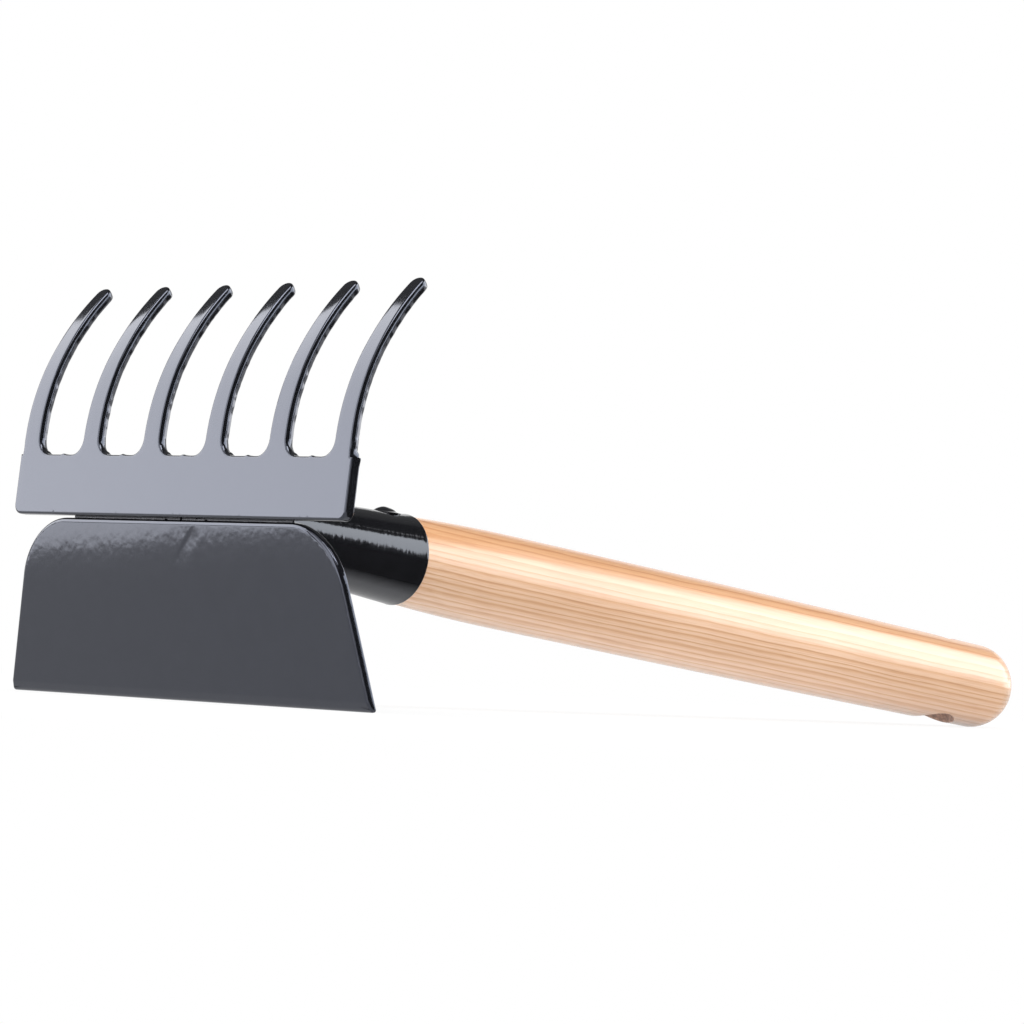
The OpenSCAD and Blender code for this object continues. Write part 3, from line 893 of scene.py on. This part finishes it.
studio = {
    "centre": Vector((-0.12, 0, 0.06)), "farAway": 2.4,
    "lamps": {
        "leftSoftbox": {"azimuth": 126, "elevation": 21, "distance": 1.25, "size": (0.96, 1.14),
                        "shift": (-0.08, 0.15), "glow": 3.9},
        "rightSoftbox": {"azimuth": -28.5, "elevation": 20.5, "distance": 1.35, "size": (1.17, 0.74),
                         "shift": (0, -0.045), "glow": 3.4, "colour": (0.93, 0.97, 1.0)},
        "topSoftbox": {"azimuth": -110, "elevation": 66, "distance": 1.3, "size": (0.9, 0.6), "glow": 6.0},
    },
    "cards": {
        "rightCard": {"azimuth": (-120, -30), "elevation": (-12, 75)},
        "topCard": {"azimuth": (-30, 0), "elevation": (40, 88)},
        "backCard": {"azimuth": (0, 146), "elevation": (24, 88)},
        "leftCard": {"azimuth": (80, 150), "elevation": (0, 24)},
        "frontCard": {"azimuth": (196, 240), "elevation": (10, 40)},
        "frontGlow": {"azimuth": (149, 196), "elevation": (0, 42), "glow": 2.6},
        "lowGlow": {"azimuth": (-34, 10), "elevation": (-2, 3.6), "glow": 3.2},
    },
    "floorCards": {
        "frontFloorCard": {"corners": ((-0.125, -2.4), (2.3, -2.4), (0.35, -0.002), (-0.125, -0.002)),
                           "glow": 0.0},
        "hoeFloorCard": {"corners": ((-0.260, 0.367), (-0.400, 0.146), (-0.95, 0.45), (-0.80, 0.85)),
                         "glow": 3.0},
    },
    "fill": {"azimuth": -140, "elevation": 18, "distance": 1.6, "size": (0.9, 0.9), "glow": 2.2},
    "ambient": 0.5,
    "floor": {"size": 6, "grey": 0.82, "mirrored": 0.8, "near": (0.18, 0.86), "far": (0.42, 1.0)},
}


def direction(azimuth, elevation):
    a, e = math.radians(azimuth), math.radians(elevation)
    return Vector((math.cos(e) * math.cos(a), math.cos(e) * math.sin(a), math.sin(e)))


def addLamp(name, azimuth, elevation, distance, size, glow,
            shift=(0, 0), colour=(1, 1, 1), seenInGloss=True):
    width, height = size
    lamp = bpy.data.lights.new(name, "AREA")
    lamp.shape = "RECTANGLE"
    lamp.size, lamp.size_y = width, height
    lamp.energy = glow * math.pi * width * height
    lamp.color = colour
    aim = direction(azimuth, elevation)
    holder = bpy.data.objects.new(name, lamp)
    upward = (Vector((0, 0, 1)) - aim * aim.z).normalized()
    holder.location = studio["centre"] + aim * distance + upward.cross(aim) * shift[0] + upward * shift[1]
    holder.rotation_euler = aim.to_track_quat("Z", "Y").to_euler()
    holder.visible_camera = False
    holder.visible_glossy = seenInGloss
    bpy.context.scene.collection.objects.link(holder)


def addCard(name, azimuth, elevation, glow=0.0):
    # a curved card that only reflections see: dark cloth or glowing paper
    bm = bmesh.new()
    bmesh.ops.create_grid(bm, x_segments=24, y_segments=16, size=0.5)
    for vert in bm.verts:
        a = azimuth[0] + (azimuth[1] - azimuth[0]) * (vert.co.x + 0.5)
        e = elevation[0] + (elevation[1] - elevation[0]) * (vert.co.y + 0.5)
        vert.co = studio["centre"] + direction(a, e) * studio["farAway"]
        vert.co.z = max(vert.co.z, 0.004)
    hideCard(bm, name, makeGlowPaper(name + "Paper", glow) if glow else darkCloth)


def addFloorCard(name, corners, glow):
    bm = bmesh.new()
    bm.faces.new([bm.verts.new((x, y, 0.0015)) for x, y in corners])
    hideCard(bm, name, makeGlowPaper(name + "Paper", glow) if glow else fadedCloth)


def hideCard(bm, name, material):
    card = makeObject(bm, name, material)
    card.visible_camera = False
    card.visible_diffuse = False
    card.visible_shadow = False
    card.visible_transmission = False


def makeDarkCloth(name, faded):
    # the faded cloth lies on the floor and ends softly near the tool;
    # the other hangs round it, and low down on the left it catches the light
    material, board, shader = newMaterial(name)
    shader.inputs["Base Color"].default_value = (0.01, 0.01, 0.01, 1)
    shader.inputs["Roughness"].default_value = 1.0
    shader.inputs["Specular IOR Level"].default_value = 0.0
    shader.inputs["Emission Strength"].default_value = 1.0
    coordinates = board.add("TexCoord")
    parts = board.add("SeparateXYZ")
    board.join(coordinates.outputs["Object"], parts.inputs["Vector"])
    weave = board.add("TexNoise", Scale=60.0)
    board.join(coordinates.outputs["Object"], weave.inputs["Vector"])
    cloth = board.ramp(weave.outputs["Fac"], [(0.3, 0.03), (0.7, 0.05)])
    if faded:
        board.join(cloth, shader.inputs["Emission Color"])
        fade = board.maths("DIVIDE", board.maths("SUBTRACT", -0.006, parts.outputs["Y"]), 0.024)
        board.join(board.maths("MINIMUM", fade, 1.0), shader.inputs["Alpha"])
    else:
        low = board.ramp(board.maths("DIVIDE", parts.outputs["Z"], 1.3), [(0.15, 1.0), (0.95, 0.0)])
        leftSide = board.ramp(board.maths("ADD", parts.outputs["Y"], 0.5), [(0.5, 0.0), (0.8, 1.0)])
        cloth = board.blendColours("MIX", leftSide, cloth, (0.13, 0.13, 0.13, 1))
        lit = board.maths("MULTIPLY", low, leftSide)
        glow = board.blendColours("MIX", lit, cloth, (0.5, 0.5, 0.5, 1))
        board.join(glow, shader.inputs["Emission Color"])
    return material


def makeGlowPaper(name, glow):
    material, board, shader = newMaterial(name)
    board.tree.nodes.remove(shader)
    paper = board.add("Emission", Strength=glow)
    board.join(paper.outputs[0], board.tree.nodes["Material Output"].inputs["Surface"])
    return material


def makeFloor():
    settings = studio["floor"]
    bm = bmesh.new()
    bmesh.ops.create_grid(bm, x_segments=4, y_segments=4, size=settings["size"])
    material, board, shader = newMaterial("paleFloor")
    board.tree.nodes.remove(shader)
    grey = settings["grey"]
    matt = board.add("BsdfDiffuse", Color=(grey, grey, grey, 1))
    glow = board.add("Emission", Color=(1, 1, 1, 1), Strength=1.0)
    path = board.add("LightPath")
    dimmed = board.maths("MULTIPLY", path.outputs["Is Glossy Ray"], 1 - settings["mirrored"])
    board.join(board.maths("SUBTRACT", 1.0, dimmed), glow.inputs["Strength"])
    coordinates = board.add("TexCoord")
    away = board.add("VectorMath", operation="LENGTH")
    board.join(coordinates.outputs["Object"], away.inputs[0])
    # close to the tool the floor keeps its shadow; further off it melts into the white background
    fade = board.ramp(away.outputs["Value"], [settings["near"], settings["far"]])
    shown = board.maths("MULTIPLY", path.outputs["Is Camera Ray"], fade)
    mirrored = board.maths("MAXIMUM", path.outputs["Is Glossy Ray"], path.outputs["Is Transmission Ray"])
    both = board.add("MixShader")
    board.join(board.maths("MAXIMUM", shown, mirrored), both.inputs[0])
    board.join(matt.outputs[0], both.inputs[1])
    board.join(glow.outputs[0], both.inputs[2])
    board.join(both.outputs[0], board.tree.nodes["Material Output"].inputs["Surface"])
    makeObject(bm, "floor", material)


def makeWorld():
    world = bpy.data.worlds.new("paleStudio")
    bpy.context.scene.world = world
    world.use_nodes = True
    board = Board(world.node_tree)
    nodes = world.node_tree.nodes
    nodes.clear()
    path = board.add("LightPath")
    direct = board.maths("MAXIMUM", path.outputs["Is Camera Ray"], path.outputs["Is Glossy Ray"])
    seen = board.maths("MAXIMUM", direct, path.outputs["Is Transmission Ray"])
    strength = board.maths("ADD", board.maths("MULTIPLY", seen, 1 - studio["ambient"]), studio["ambient"])
    backdrop = board.add("Background", Color=(1, 1, 1, 1))
    board.join(strength, backdrop.inputs["Strength"])
    board.join(backdrop.outputs[0], board.add("OutputWorld").inputs["Surface"])


darkCloth = makeDarkCloth("darkCloth", False)
fadedCloth = makeDarkCloth("fadedCloth", True)
for name, settings in studio["lamps"].items():
    addLamp(name, **settings)
addLamp("fillLamp", **studio["fill"], seenInGloss=False)
for name, settings in studio["cards"].items():
    addCard(name, **settings)
for name, settings in studio["floorCards"].items():
    addFloorCard(name, **settings)
makeFloor()
makeWorld()

view = bpy.context.scene.view_settings
view.view_transform = "Standard"

camera = {
    "place": (-0.97144, -1.00058, 0.020816), "turn": (91.45335, -2.68454, -42.94547),
    "lens": 172.9127, "sensor": 36.0,
}


def addCamera():
    data = bpy.data.cameras.new("camera")
    data.lens = camera["lens"]
    data.sensor_width = camera["sensor"]
    data.clip_start = 0.01
    data.clip_end = 50
    holder = bpy.data.objects.new("camera", data)
    holder.location = camera["place"]
    holder.rotation_euler = [math.radians(angle) for angle in camera["turn"]]
    bpy.context.scene.collection.objects.link(holder)
    bpy.context.scene.camera = holder


addCamera()
print("studio ready")
